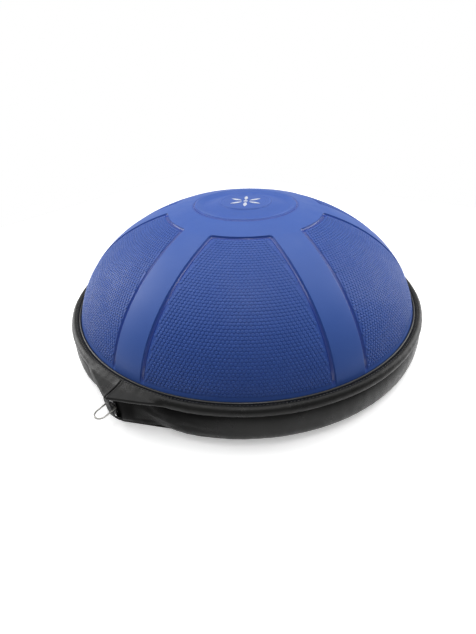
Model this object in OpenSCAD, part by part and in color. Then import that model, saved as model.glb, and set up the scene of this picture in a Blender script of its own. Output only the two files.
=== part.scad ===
// Balance dome trainer: an air-filled half ball on a padded, leatherette-covered platform.
// The origin is the centre of the underside, +Z is up and the two corner tabs point along -Y and +Y.

/* [Dome] */
// Radius of the dome at its widest level
dome_rx = 289; // [275:1:300]
// Height of the dome's curve above its widest level
dome_rz = 190; // [175:1:205]
// Thickness of the moulded dome wall
dome_wall = 4; // [3:0.5:5]
// Radius of the turned-in lower lip
lip_arc = 11; // [9:1:13]
// Width of the flat part of the lip
lip_w = 10; // [8:1:14]
// Thickness of the flat air-chamber floor
floor_t = 2.5; // [2:0.5:4]

/* [Hub and ribs] */
// Number of smooth ribs between the grip panels
ribs = 6; // [6, 8, 10]
// Width of a rib
rib_w = 46; // [30:1:56]
// Radius of the smooth hub, where the grip panels start
hub_r = 127; // [112:1:129]
// Radius inside which the crown flattens
crown_r = 130; // [120:1:145]
// How far the flattened crown's middle lies below the dome's full curve
crown_drop = 4; // [2:0.5:10]
// Depth of the grip panels below the ribs
panel_d = 1.2; // [0.6:0.1:1.8]
// Radius of the round dish in the hub
dish_r = 78; // [70:1:92]
// Depth of the dish
dish_d = 3; // [1.5:0.5:4]
// Width of the dish's sloped wall
dish_slope = 4; // [3:1:9]
// Radius of the low disc in the dish
disc_r = 42; // [36:1:52]
// Height of the disc's edge above the dish's floor
disc_t = 1.2; // [0.6:0.2:2]

/* [Platform] */
// How far the plywood board's edge lies inside the dome's widest level
board_in = 5; // [3:1:13]
// Thickness of the board
board_t = 18; // [15:1:21]
// Thickness of the rubber mat and of the cover's bottom flange
mat_t = 3; // [2.5:0.5:4]
// How far the rubber mat's edge lies inside the board's edge
mat_in = 38; // [32:1:54]
// Number of grooves moulded into the mat
mat_grooves = 9; // [4:1:14]
// Radius of the access hole to the valve
access_r = 20; // [18:1:26]

/* [Cover] */
// How far the cover's upper ridge stands out from the dome's widest level
ridge_out = 12.5; // [11:0.5:17]
// Height of the ridge's centre line above the board
ridge_up = 32.5; // [31:0.5:35]
// Radius of the ridge's roll
ridge_roll = 7; // [6:0.5:9]
// How far the cover's lower edge stands out from the board's edge
edge_out = 4; // [2:1:7]
// How far the side band stands out from the board's edge at its fullest
side_out = 18; // [14:1:20]
// How far the seam under the top band lies below the ridge's centre line
seam_drop = 6.5; // [5.5:0.5:7]
// Height of the fullest line of the side band above the board
side_mid_up = 5; // [1:1:9]
// Thickness of the leatherette with its backing
cover_t = 2; // [1.5:0.5:2.5]
// Radius of the piping cord at the dome opening
piping_r = 1.6; // [1.2:0.1:2]
// Height of the piping above the ridge's centre line
piping_up = 5; // [3.5:0.5:7.5]

/* [Corner tabs] */
// How far each upper corner tip stands out from the ridge
tip_out = 20.5; // [14.5:0.5:28.5]
// How far each lower corner tip stands out from the cover's lower edge
low_tip_out = 21; // [16:1:24]
// Thickness of the upper corner flap
flap_t = 5; // [4.5:0.5:7]
// Height of the flap's top face above the ridge's centre line
flap_up = 3; // [1.5:0.5:4.5]
// Thickness of the plastic insert in the flap
insert_t = 1.5; // [1:0.1:2]
// Width of the vertical strap
strap_w = 10; // [8:0.5:12]
// Thickness of the strap
strap_t = 3; // [2.5:0.5:3.5]
// Length of the strap's tail under the board
tail_l = 34; // [28:1:35]

/* [Strap rings] */
// Radius of the ring's wire
wire_r = 1.4; // [1.2:0.1:1.6]
// Width of the ring between wire centres
ring_w = 16; // [15:0.5:20]
// Length of the ring between wire centres
ring_l = 24; // [20:0.5:30]
// How far the ring's pivot lies below the flap's top face
ring_drop = 20.5; // [18.5:0.5:24.5]
// Radius of the wire's bend at the pivot bar
ring_bend = 2.2; // [1.8:0.1:2.4]

/* [Valve] */
// Radius of the hole through the valve seat
valve_bore_r = 4.5; // [3.5:0.5:6]
// Wall of the valve seat's tube
valve_wall = 3.5; // [2.5:0.5:5]
// Height of the valve seat's tube above its flange
valve_h = 20; // [14:1:26]
// Radius of the valve seat's flange
valve_flange_r = 17; // [15:1:18]
// Radius of the plug's head
plug_head_r = 10; // [9:1:13]
// Thickness of the plug's head
plug_head_t = 3; // [2:0.5:4]
// Length of the plug's pull tab
plug_tab_l = 9; // [7:1:11]

/* [Fasteners] */
// Number of staples round the bottom flange
staple_count = 36; // [24:2:48]
// How far the staples lie inside the board's edge
staple_in = 18; // [12:1:22]
// Width of a staple
staple_w = 10; // [8:1:12]
// Length of a staple's legs
staple_leg = 9; // [7:1:12]
// Radius of the strap screws' shanks
screw_r = 2; // [1.5:0.25:2.5]
// Radius of the strap screws' heads
screw_head_r = 4; // [3.5:0.25:4.5]
// Length of the strap screws
screw_l = 16; // [12:1:18]

/* [Clearances] */
// Gap between curved faces of neighbouring soft parts
soft_gap = 0.4; // [0.3:0.1:0.6]
// Radial clearance of the plug's stem and of the ring's wire
run_gap = 0.1; // [0.05:0.05:0.2]
// Gap round the plug's head
plug_gap = 0.3; // [0.2:0.1:0.5]
// Gap between a thin insert and its pocket
pocket_gap = 0.1; // [0.05:0.05:0.2]

/* [Hidden] */
$fn = 96;

dome_blue = [0.20, 0.30, 0.58];
silver = [0.78, 0.79, 0.81];
leather_black = [0.13, 0.13, 0.13];
foam_grey = [0.62, 0.62, 0.60];
ply_tan = [0.76, 0.62, 0.43];
rubber_black = [0.10, 0.10, 0.11];
steel_grey = [0.70, 0.71, 0.72];

board_top = mat_t + board_t;
board_r = dome_rx - board_in;
mat_r = board_r - mat_in;
dome_mid_z = board_top + lip_arc;
crown_z = dome_mid_z + dome_rz - crown_drop;
lip_x = dome_rx - lip_arc;
lip_in = lip_x - lip_w;
floor_z = board_top + dome_wall;
floor_r = lip_x - 2;
dish_lip = dish_r + dish_slope;
slab_l = 2 * dome_rx + 50;
ridge_r = dome_rx + ridge_out;
ridge_z = board_top + ridge_up;
edge_r = board_r + edge_out;
side_r = board_r + side_out;
seam_z = ridge_z - seam_drop;
side_mid_z = board_top + side_mid_up;
piping_z = ridge_z + piping_up;
tip_r = ridge_r + tip_out;
low_tip_r = edge_r + low_tip_out;
flap_z = ridge_z + flap_up;
tail_r = board_r - tail_l;
ring_z = flap_z - ring_drop;
staple_r = board_r - staple_in;
arc_steps = 8;
curve_steps = 26;
crown_steps = 4;
roll_steps = 12;
bulge = 2.6;
side_steps = 18;

disc_z = crown(disc_r) - dish_d + disc_t;

// Points listed in the opposite order
function reversed(v) = [for (i = [len(v) - 1 : -1 : 0]) v[i]];
// Height of the dome's curve at radius r, moved outwards by off
function dome_z(r, off = 0) =
    dome_mid_z + (dome_rz + off) * sqrt(1 - pow(r / (dome_rx + off), 2));
// Radius of the dome's curve at height z, moved outwards by off
function dome_r(z, off = 0) =
    (dome_rx + off) * sqrt(1 - pow((z - dome_mid_z) / (dome_rz + off), 2));
// Radius of the turned-in lip at height z, moved outwards by off
function lip_r(z, off = 0) =
    lip_x + sqrt(pow(lip_arc + off, 2) - pow(dome_mid_z - z, 2));
// Height of the flattened crown at radius r
function crown(r) =
    dome_z(crown_r) + (crown_z - dome_z(crown_r)) * (1 - pow(r / crown_r, 2));
// Quarter arc of the lip, from its flat part up to the widest level
function lip_points(off) = [
    for (i = [0 : arc_steps])
        let (a = -90 + 90 * i / arc_steps)
        [lip_x + (lip_arc + off) * cos(a), dome_mid_z + (lip_arc + off) * sin(a)]];
// The dome's curve above the widest level, up to radius r_end
function curve_points(off, r_end) =
    let (a_end = acos(r_end / (dome_rx + off)))
    [for (i = [1 : curve_steps])
        let (a = a_end * i / curve_steps)
        [(dome_rx + off) * cos(a), dome_mid_z + (dome_rz + off) * sin(a)]];
// The crown from radius r_start in to r_end, moved up by off
function crown_points(off, r_start, r_end, first) = [
    for (i = [first : crown_steps])
        let (r = r_start + (r_end - r_start) * i / crown_steps)
        [r, crown(r) + off]];
// Radius of the side band's outer face at height z, moved outwards by off
function side_x(z, off = 0) =
    let (low_x = edge_r - 4,
         t = z > side_mid_z ? (z - side_mid_z) / (seam_z + 4 - side_mid_z)
                            : (side_mid_z - z) / (side_mid_z - mat_t))
    off + low_x + (side_r - low_x) * pow(1 - pow(t, bulge), 1 / bulge);
// The side band's outer face from z_low up to z_high
function side_points(z_low, z_high, off) = [
    for (i = [0 : side_steps])
        let (z = z_low + (z_high - z_low) * (1 - cos(180 * i / side_steps)) / 2)
        [side_x(z, off), z]];
// Arc of the ridge's roll from angle a0 to a1
function roll_points(r, a0, a1) = [
    for (i = [0 : roll_steps])
        let (a = a0 + (a1 - a0) * i / roll_steps)
        [ridge_r - ridge_roll + r * cos(a), ridge_z + r * sin(a)]];

// The same thing at the front, and turned half way round
module both_ends() {
    children();
    rotate([0, 0, 180]) children();
}

// A wedge whose straight edges run from a corner tip to the circle that they touch
module corner_plan(r, tip) {
    a = acos(r / tip);
    polygon([[0, -tip], [r * sin(a), -r * cos(a)], [0, -r * cos(a) / 2],
             [-r * sin(a), -r * cos(a)]]);
}

// Air chamber ---------------------------------------------------------------

// The grip panels' outer skin, between the ribs, the hub and the cover
module panel_skins() {
    skin_low = piping_z + 6;
    skin = [for (i = [0 : curve_steps])
        let (z = skin_low + (dome_z(hub_r) - skin_low) * i / curve_steps)
        [dome_r(z), z]];
    difference() {
        rotate_extrude()
            polygon(concat([for (p = skin) [p[0] - panel_d, p[1]]],
                           [[hub_r, dome_z(hub_r) + 5], [dome_rx + 5, dome_z(hub_r) + 5],
                            [dome_rx + 5, skin_low]]));
        for (i = [0 : ribs / 2 - 1])
            rotate([0, 0, i * 360 / ribs])
                translate([-rib_w / 2, -slab_l / 2, 0])
                    cube([rib_w, slab_l, dome_rz + 2 * dome_mid_z]);
    }
}

module dome_shell() {
    outer = concat(lip_points(0), curve_points(0, crown_r),
                   crown_points(0, crown_r, dish_lip, 1),
                   crown_points(-dish_d, dish_r, disc_r + 1.5, 0),
                   [[disc_r, disc_z], [0, disc_z]]);
    inner = concat(lip_points(-dome_wall), curve_points(-dome_wall, crown_r),
                   crown_points(-dome_wall - dish_d, crown_r, 0, 1));
    color(dome_blue)
        difference() {
            rotate_extrude()
                polygon(concat([[lip_in, board_top]], outer, reversed(inner),
                               [[lip_in, floor_z]]));
            panel_skins();
        }
}

module dome_floor() {
    color(dome_blue)
        translate([0, 0, floor_z])
            difference() {
                cylinder(r = floor_r, h = floor_t);
                translate([0, 0, -1])
                    cylinder(r = valve_bore_r + valve_wall, h = floor_t + 2);
            }
}

module valve_body() {
    color("dimgray")
        difference() {
            union() {
                translate([0, 0, floor_z - 2]) cylinder(r = valve_flange_r, h = 2);
                translate([0, 0, floor_z])
                    cylinder(r = valve_bore_r + valve_wall, h = valve_h);
            }
            translate([0, 0, floor_z - 3]) cylinder(r = valve_bore_r, h = valve_h + 4);
        }
}

module valve_plug() {
    head_top = floor_z - 2 - plug_gap;
    head_low = head_top - plug_head_t;
    stem_r = valve_bore_r - run_gap;
    stem_top = floor_z + valve_h + 2;
    color("silver") {
        translate([0, 0, head_low]) cylinder(r = plug_head_r, h = plug_head_t);
        translate([0, 0, head_low]) cylinder(r = stem_r, h = stem_top - head_low);
        translate([0, 0, stem_top]) cylinder(r1 = stem_r, r2 = stem_r - 1.5, h = 3);
        difference() {
            translate([-6, -1.5, head_low - plug_tab_l]) cube([12, 3, plug_tab_l]);
            translate([0, 0, head_low - plug_tab_l / 2])
                rotate([90, 0, 0]) cylinder(r = 2.5, h = 8, center = true);
        }
    }
}

module bladder_pad() {
    color("darkgray")
        translate([0, 0, board_top])
            difference() {
                cylinder(r = lip_in - soft_gap, h = dome_wall);
                translate([0, 0, -1]) cylinder(r = access_r, h = dome_wall + 2);
            }
}

// Platform ------------------------------------------------------------------

// Everything that is cut for the front strap's tail and its screws
module tail_cut() {
    translate([-strap_w / 2 - pocket_gap, -side_r - 2, mat_t - 1])
        cube([strap_w + 2 * pocket_gap, side_r + 2 - tail_r + pocket_gap,
              strap_t + pocket_gap + 1]);
}

// Centres of the two screws in the front strap's tail
screw_y = [-(tail_r + 8), -(tail_r + 22)];

module screw_shapes() {
    both_ends()
        for (y = screw_y)
            translate([0, y, mat_t]) {
                cylinder(r1 = screw_head_r, r2 = screw_r, h = screw_head_r - screw_r);
                cylinder(r = screw_r, h = screw_l);
            }
}

// Staples, crowns flush in the flange and legs up into the board
module staple_shapes() {
    wire = 1;
    crown_low = 0.3;
    for (i = [0 : staple_count - 1])
        rotate([0, 0, (i + 0.5) * 360 / staple_count])
            translate([staple_r, 0, 0]) {
                translate([-wire / 2, -staple_w / 2, crown_low]) cube([wire, staple_w, wire]);
                for (y = [-staple_w / 2, staple_w / 2 - wire])
                    translate([-wire / 2, y, crown_low]) cube([wire, wire, staple_leg]);
            }
}

module base_board() {
    color(ply_tan)
        difference() {
            translate([0, 0, mat_t]) cylinder(r = board_r, h = board_t);
            translate([0, 0, mat_t - 1]) cylinder(r = access_r, h = board_t + 2);
            both_ends() tail_cut();
            screw_shapes();
            staple_shapes();
        }
}

module platform_mat() {
    groove_pitch = (mat_r - access_r) / (mat_grooves + 1);
    color(rubber_black)
        difference() {
            cylinder(r = mat_r, h = mat_t);
            translate([0, 0, -1]) cylinder(r = access_r, h = mat_t + 2);
            for (i = [1 : mat_grooves])
                translate([0, 0, -1])
                    difference() {
                        cylinder(r = access_r + i * groove_pitch + 1.5, h = 2);
                        translate([0, 0, -1])
                            cylinder(r = access_r + i * groove_pitch - 1.5, h = 4);
                    }
        }
}

module rim_foam() {
    inset = -cover_t - soft_gap;
    low = mat_t + soft_gap;
    inner_r = board_r + soft_gap / 2;
    past_board = board_top + soft_gap;
    dome_side = [for (i = [0 : side_steps])
        let (z = past_board + (ridge_z - past_board) * i / side_steps)
        [z < dome_mid_z ? lip_r(z, soft_gap + 0.1) : dome_r(z, soft_gap + 0.1), z]];
    color(foam_grey)
        difference() {
            rotate_extrude()
                polygon(concat([[inner_r, low], [inner_r, past_board]], dome_side,
                               roll_points(ridge_roll + inset, 90, -80),
                               reversed(side_points(low + 5, seam_z, inset - 0.2))));
            both_ends() tail_cut();
        }
}

// Cover ---------------------------------------------------------------------

module flap_plan(inset) {
    difference() {
        corner_plan(ridge_r - 0.2 - inset, tip_r - 2 * inset);
        circle(r = ridge_r - cover_t + 0.5 + inset, $fn = 180);
    }
}

module cover_top() {
    band_in = piping_seat + piping_r + 0.2;
    color(leather_black)
        difference() {
            union() {
                rotate_extrude()
                    polygon(concat([[band_in, piping_z - 0.6], [band_in, piping_z + 1.2]],
                                   roll_points(ridge_roll, 112, -62),
                                   reversed(roll_points(ridge_roll - cover_t, 112, -62))));
                both_ends()
                    translate([0, 0, flap_z - flap_t]) linear_extrude(flap_t) flap_plan(0);
            }
            stiffener_shapes(pocket_gap);
        }
}

// Distance of the piping's centre line from the middle
piping_seat = dome_r(piping_z, soft_gap) + piping_r;

module hem_piping() {
    color([0.24, 0.24, 0.24])
        rotate_extrude() translate([piping_seat, piping_z]) circle(r = piping_r, $fn = 32);
}

// Flat inserts in the two flaps, grown by gap on every side
module stiffener_shapes(gap) {
    low = flap_z - (flap_t + insert_t) / 2;
    both_ends()
        translate([0, 0, low - gap])
            linear_extrude(insert_t + 2 * gap)
                difference() {
                    corner_plan(ridge_r - 3 + gap, tip_r - 5 + gap);
                    circle(r = ridge_r + 2 - gap, $fn = 180);
                }
}

module corner_stiffeners() {
    color("gainsboro") stiffener_shapes(0);
}

module cover_side() {
    top = seam_z - 0.3;
    low = mat_t + 0.2;
    color(leather_black)
        difference() {
            rotate_extrude()
                polygon(concat(side_points(low, top, 0),
                               reversed(side_points(low, top, -cover_t))));
            both_ends() tail_cut();
        }
}

module cover_bottom() {
    color(leather_black)
        difference() {
            linear_extrude(mat_t)
                difference() {
                    union() {
                        circle(r = edge_r, $fn = 180);
                        both_ends() corner_plan(edge_r - 0.2, low_tip_r);
                    }
                    circle(r = mat_r + 0.3, $fn = 180);
                }
            staple_shapes();
        }
}

module staples() {
    color(steel_grey) staple_shapes();
}

module strap_screws() {
    color(steel_grey) screw_shapes();
}

// Corner straps and rings ---------------------------------------------------

// Outer face of the strap: from under the flap's tip down, then in to the lower tip
strap_top_y = -(tip_r - 1);
strap_mid_y = -(tip_r - 4);
strap_low_y = -(low_tip_r - 1);
strap_knee_z = board_top - 1;
strap_top_z = flap_z - flap_t;
bar_y = strap_mid_y + strap_t + wire_r + run_gap - 1;
eye_r = wire_r + run_gap;

module corner_strap() {
    t = strap_t;
    color(leather_black)
        difference() {
            union() {
                rotate([90, 0, 90])
                    linear_extrude(strap_w, center = true)
                        polygon([[strap_top_y, strap_top_z], [strap_mid_y, strap_knee_z],
                                 [strap_low_y, mat_t], [-tail_r, mat_t], [-tail_r, mat_t + t],
                                 [strap_low_y + t, mat_t + t], [strap_mid_y + t, strap_knee_z + 1],
                                 [strap_top_y + t, strap_top_z]]);
                translate([0, bar_y, ring_z])
                    rotate([0, 90, 0]) cylinder(r = eye_r + 1.6, h = strap_w, center = true);
            }
            translate([0, bar_y, ring_z])
                rotate([0, 90, 0]) cylinder(r = eye_r, h = strap_w + 2, center = true);
            screw_shapes();
        }
}

// D-shaped wire ring lying level, its straight bar on the X axis and its bow towards -Y
module ring_wire() {
    h = ring_w / 2;
    b = ring_bend;
    leg_y = ring_l - h;
    color(steel_grey) {
        rotate([0, 90, 0]) cylinder(r = wire_r, h = ring_w - 2 * b, center = true);
        for (s = [0, 1])
            mirror([s, 0, 0]) {
                translate([h - b, -b, 0])
                    rotate_extrude(angle = 90) translate([b, 0]) circle(r = wire_r, $fn = 32);
                translate([h, -b, 0])
                    rotate([90, 0, 0]) cylinder(r = wire_r, h = leg_y - b);
            }
        translate([0, -leg_y, 0])
            rotate([0, 0, 180])
                rotate_extrude(angle = 180) translate([h, 0]) circle(r = wire_r, $fn = 32);
    }
}

module strap_ring() {
    translate([0, bar_y, ring_z]) ring_wire();
}

module corner_strap_front() {
    corner_strap();
}

module corner_strap_rear() {
    rotate([0, 0, 180]) corner_strap();
}

module strap_ring_front() {
    strap_ring();
}

module strap_ring_rear() {
    rotate([0, 0, 180]) strap_ring();
}

// Plain rosette printed on the hub: a leaf for each rib round a dot
module hub_badge() {
    leaf_l = 21;
    leaf_w = 6;
    leaf_in = 7;
    arc_r = (pow(leaf_l, 2) + pow(leaf_w, 2)) / (4 * leaf_w);
    color(silver)
        translate([0, 0, disc_z])
            linear_extrude(0.4) {
                circle(r = 3.5);
                for (i = [0 : ribs - 1])
                    rotate([0, 0, i * 360 / ribs])
                        intersection_for(s = [-1, 1])
                            translate([leaf_in + leaf_l / 2, s * (arc_r - leaf_w / 2)])
                                circle(r = arc_r);
            }
}

dome_shell();
dome_floor();
valve_body();
valve_plug();
bladder_pad();
base_board();
platform_mat();
rim_foam();
cover_top();
cover_side();
cover_bottom();
hem_piping();
corner_stiffeners();
staples();
strap_screws();
corner_strap_front();
corner_strap_rear();
strap_ring_front();
strap_ring_rear();
hub_badge();
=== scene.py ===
"""Looks of a balance dome trainer: a ribbed air dome on a padded platform with a leatherette rim cover."""

import logging
import math
from collections.abc import Callable
from dataclasses import dataclass, field
from enum import Enum

import bpy
import numpy as np
from mathutils import Matrix, Vector


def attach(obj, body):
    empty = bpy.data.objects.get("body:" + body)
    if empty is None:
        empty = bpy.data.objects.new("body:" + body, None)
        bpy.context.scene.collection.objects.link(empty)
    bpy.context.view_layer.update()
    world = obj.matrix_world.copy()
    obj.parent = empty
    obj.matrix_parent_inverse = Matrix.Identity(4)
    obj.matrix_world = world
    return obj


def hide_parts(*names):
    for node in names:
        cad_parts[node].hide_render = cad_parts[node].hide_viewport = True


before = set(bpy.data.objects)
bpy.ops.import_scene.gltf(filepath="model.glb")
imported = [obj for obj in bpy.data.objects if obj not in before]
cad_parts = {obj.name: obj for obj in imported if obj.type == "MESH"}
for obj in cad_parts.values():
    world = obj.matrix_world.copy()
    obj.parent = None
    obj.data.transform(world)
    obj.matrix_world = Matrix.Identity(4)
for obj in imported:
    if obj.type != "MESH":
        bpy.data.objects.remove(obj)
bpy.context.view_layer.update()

logging.basicConfig(level=logging.INFO, format="%(message)s")
log = logging.getLogger("trainer")

MM = 0.001
BODY = "trainer"
SUNK = "sunk"
FULL_TURN = 2 * math.pi
Value = float | tuple | str | bpy.types.NodeSocket


class Tab(Enum):
    """The two corner tabs: name, ring body and turn about Z from the front one."""

    FRONT = ("front", "front_ring", 0.0)
    REAR = ("rear", "rear_ring", math.pi)

    @property
    def word(self) -> str:
        """Name used in piece names."""
        return self.value[0]

    @property
    def ring_body(self) -> str:
        """CAD body that the tab's ring rides on."""
        return self.value[1]

    @property
    def turn(self) -> float:
        """Turn about Z in radians."""
        return self.value[2]


# ----------------------------------------------------------------------------- numbers


def eased(low: float, high: float, value: np.ndarray) -> np.ndarray:
    """Eases from 0 at low to 1 at high.

    Args:
        low: value where the result leaves 0.
        high: value where the result reaches 1.
        value: a number or an array.

    Returns:
        The eased share, shaped as value.
    """
    t = np.clip((np.asarray(value, float) - low) / (high - low), 0.0, 1.0)
    return t * t * (3.0 - 2.0 * t)


def soft_min(a: np.ndarray, b: np.ndarray, width: float) -> np.ndarray:
    """Smaller of two distances, rounded where they are nearly equal.

    Args:
        a: first distance.
        b: second distance.
        width: difference over which the corner is rounded.

    Returns:
        The rounded minimum.
    """
    h = np.clip(0.5 + 0.5 * (b - a) / width, 0.0, 1.0)
    return b * (1 - h) + a * h - width * h * (1 - h)


def bump(value: np.ndarray, centre: float, half_width: float) -> np.ndarray:
    """Round-topped bump of height 1.

    Args:
        value: a number or an array.
        centre: middle of the bump.
        half_width: distance at which it has faded to about a third.

    Returns:
        The bump's height, shaped as value.
    """
    return np.exp(-(((np.asarray(value, float) - centre) / half_width) ** 2))


def ripple(angle: np.ndarray, height: np.ndarray, seed: int, low: int, high: int) -> np.ndarray:
    """Slow random waves that close round a full turn, as stretched sheet has.

    Args:
        angle: angle about Z in radians.
        height: second coordinate in millimetres.
        seed: seed of the random phases.
        low: fewest waves in a turn.
        high: most waves in a turn.

    Returns:
        Values of about -1 to 1.
    """
    rng = np.random.default_rng(seed)
    angle, height = np.broadcast_arrays(np.asarray(angle, float), np.asarray(height, float))
    total = np.zeros(angle.shape)
    waves = 8
    for _ in range(waves):
        turns = int(rng.integers(low, high))
        slope = rng.uniform(-0.13, 0.13)
        total += np.sin(turns * angle + slope * height + rng.uniform(0, FULL_TURN))
    return total / math.sqrt(2 * waves)


def polar(radius: np.ndarray, angle: np.ndarray, height: np.ndarray) -> np.ndarray:
    """Places from radius, angle measured from -Y towards +X, and height.

    Args:
        radius: distances from the Z axis.
        angle: angles in radians.
        height: heights.

    Returns:
        Array of (x, y, z) with one more axis than the inputs.
    """
    radius, angle, height = np.broadcast_arrays(radius, angle, height)
    return np.stack([radius * np.sin(angle), -radius * np.cos(angle), height], axis=-1)


# ----------------------------------------------------------------------------- modelling


def drop_selection() -> None:
    """Leaves edit mode and deselects everything."""
    if bpy.context.object and bpy.context.object.mode != "OBJECT":
        bpy.ops.object.mode_set(mode="OBJECT")
    bpy.ops.object.select_all(action="DESELECT")


def take(obj: bpy.types.Object) -> None:
    """Makes obj the only selected and active object."""
    drop_selection()
    obj.select_set(True)
    bpy.context.view_layer.objects.active = obj


def settle(obj: bpy.types.Object, angle: float = 40.0) -> bpy.types.Object:
    """Applies the place, merges doubles, points faces outwards and shades by angle.

    Args:
        obj: a finished mesh piece.
        angle: edges sharper than this many degrees stay sharp.

    Returns:
        The same object.
    """
    take(obj)
    bpy.ops.object.transform_apply(location=True, rotation=True, scale=True)
    bpy.ops.object.mode_set(mode="EDIT")
    bpy.ops.mesh.select_all(action="SELECT")
    bpy.ops.mesh.remove_doubles(threshold=2e-6)
    bpy.ops.mesh.normals_make_consistent(inside=False)
    bpy.ops.object.mode_set(mode="OBJECT")
    bpy.ops.object.shade_smooth_by_angle(angle=math.radians(angle))
    return obj


def apply_modifier(obj: bpy.types.Object, kind: str, **settings: object) -> None:
    """Adds a modifier to obj and applies it.

    Args:
        obj: the mesh object.
        kind: the modifier's type.
        **settings: its settings by name.
    """
    take(obj)
    modifier = obj.modifiers.new(kind.lower(), kind)
    for name, value in settings.items():
        setattr(modifier, name, value)
    bpy.ops.object.modifier_apply(modifier=modifier.name)


def point_line(name: str, points: list[tuple[float, float, float]]) -> bpy.types.Object:
    """Extrudes one vertex along points, given in millimetres, and leaves it in edit mode.

    Args:
        name: name of the new object.
        points: the places that the line goes through.

    Returns:
        The line as a mesh object, in edit mode with all of it selected.
    """
    drop_selection()
    bpy.ops.mesh.primitive_plane_add(size=MM)
    obj = bpy.context.object
    obj.name = name
    bpy.ops.object.mode_set(mode="EDIT")
    bpy.ops.mesh.select_mode(type="VERT")
    bpy.ops.mesh.select_all(action="SELECT")
    bpy.ops.mesh.merge(type="CENTER")
    bpy.ops.transform.translate(value=Vector(points[0]) * MM)
    for start, end in zip(points, points[1:]):
        step = (Vector(end) - Vector(start)) * MM
        bpy.ops.mesh.extrude_region_move(TRANSFORM_OT_translate={"value": step})
    bpy.ops.mesh.select_all(action="SELECT")
    return obj


def spun_band(
    name: str,
    profile: np.ndarray,
    columns: int,
    place: Callable[[np.ndarray, np.ndarray], np.ndarray],
    angle: float = 40.0,
    paint: Callable[[np.ndarray, np.ndarray], np.ndarray] | None = None,
) -> bpy.types.Object:
    """Spins a profile round Z and then moves each vertex to its place.

    Args:
        name: name of the new object.
        profile: array of distinct (radius, height) points of a closed outline, in millimetres.
        columns: number of columns round.
        place: gives the (x, y, z) places in millimetres for arrays of rows and columns.
        angle: edges sharper than this many degrees stay sharp.
        paint: gives how far each vertex is sunk or lies in painted shade, from 0 to 1, for the same rows and
            columns.

    Returns:
        The finished band.
    """
    line = [(0.0, -r, z) for r, z in profile]
    obj = point_line(name, line + line[:1])
    bpy.ops.mesh.spin(steps=columns, angle=FULL_TURN, center=(0, 0, 0), axis=(0, 0, 1))
    bpy.ops.mesh.select_all(action="SELECT")
    bpy.ops.mesh.remove_doubles(threshold=2e-5)
    bpy.ops.object.mode_set(mode="OBJECT")
    points = get_points(obj)
    radius = np.hypot(points[:, 0], points[:, 1])
    turn = np.arctan2(points[:, 0], -points[:, 1]) % FULL_TURN
    column = np.rint(turn / FULL_TURN * columns).astype(int) % columns
    gap = (radius[:, None] - profile[None, :, 0]) ** 2 + (points[:, 2, None] - profile[None, :, 1]) ** 2
    row = gap.argmin(axis=1)
    set_points(obj, place(row, column))
    if paint:
        mark_sunk(obj, paint(row, column))
    return settle(obj, angle)


def mark_sunk(obj: bpy.types.Object, values: np.ndarray) -> None:
    """Keeps how far each vertex is sunk or lies in painted shade, from 0 to 1, in the attribute that finishes read.
    """
    layer = obj.data.attributes.new(SUNK, "FLOAT", "POINT")
    layer.data.foreach_set("value", np.asarray(values, np.float32))


def get_points(obj: bpy.types.Object) -> np.ndarray:
    """Vertex places of obj in millimetres, as an N by 3 array."""
    co = np.empty(len(obj.data.vertices) * 3)
    obj.data.vertices.foreach_get("co", co)
    return co.reshape(-1, 3) / MM


def set_points(obj: bpy.types.Object, points: np.ndarray) -> None:
    """Writes vertex places given in millimetres back to obj."""
    obj.data.vertices.foreach_set("co", (points * MM).ravel())
    obj.data.update()


def copies(
    name: str, pattern: bpy.types.Object, frames: np.ndarray, shade: np.ndarray | None = None
) -> bpy.types.Object:
    """Sets many copies of one small shape into a single mesh.

    Args:
        name: name of the new object.
        pattern: the shape, modelled at the origin; it is removed afterwards.
        frames: array of N by 4 by 3 whose rows are the place and three axes, in millimetres.
        shade: painted shade of each vertex of the shape, from 0 to 1, kept as how far it is sunk.

    Returns:
        One mesh object that holds every copy.
    """
    shape = get_points(pattern)
    faces = [tuple(p.vertices) for p in pattern.data.polygons]
    count = len(shape)
    placed = frames[:, None, 0, :] + np.einsum("pk,nkc->npc", shape, frames[:, 1:, :])
    every = [tuple(v + i * count for v in f) for i in range(len(frames)) for f in faces]
    mesh = bpy.data.meshes.new(name)
    mesh.from_pydata((placed.reshape(-1, 3) * MM).tolist(), [], every)
    mesh.update()
    obj = bpy.data.objects.new(name, mesh)
    bpy.context.scene.collection.objects.link(obj)
    if shade is not None:
        mark_sunk(obj, np.tile(shade, len(frames)))
    bpy.data.objects.remove(pattern)
    return obj


def turned_copy(obj: bpy.types.Object, name: str, turn: float) -> bpy.types.Object:
    """A copy of obj with its own mesh, turned about Z.

    Args:
        obj: the piece to copy.
        name: the copy's name.
        turn: turn in radians.

    Returns:
        The new object, with the turn in its mesh.
    """
    twin = obj.copy()
    twin.data = obj.data.copy()
    twin.name = name
    bpy.context.scene.collection.objects.link(twin)
    twin.data.transform(Matrix.Rotation(turn, 4, "Z"))
    return twin


def dress(
    obj: bpy.types.Object, material: bpy.types.Material, body: str = BODY
) -> bpy.types.Object:
    """Gives a new piece its material and slot and lets it ride on a body.

    Args:
        obj: the piece.
        material: its material.
        body: the CAD body that it rides on.

    Returns:
        The same piece.
    """
    obj.data.materials.clear()
    obj.data.materials.append(material)
    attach(obj, body)
    log.info("piece %s: %d vertices", obj.name, len(obj.data.vertices))
    return obj


# ----------------------------------------------------------------------------- finishes


def linear(colour: str) -> tuple[float, float, float, float]:
    """Linear RGBA from an sRGB hex colour such as "#3A549E"."""
    channels = [int(colour[i : i + 2], 16) / 255 for i in (1, 3, 5)]
    return tuple(c / 12.92 if c <= 0.04045 else ((c + 0.055) / 1.055) ** 2.4 for c in channels) + (1.0,)


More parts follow.
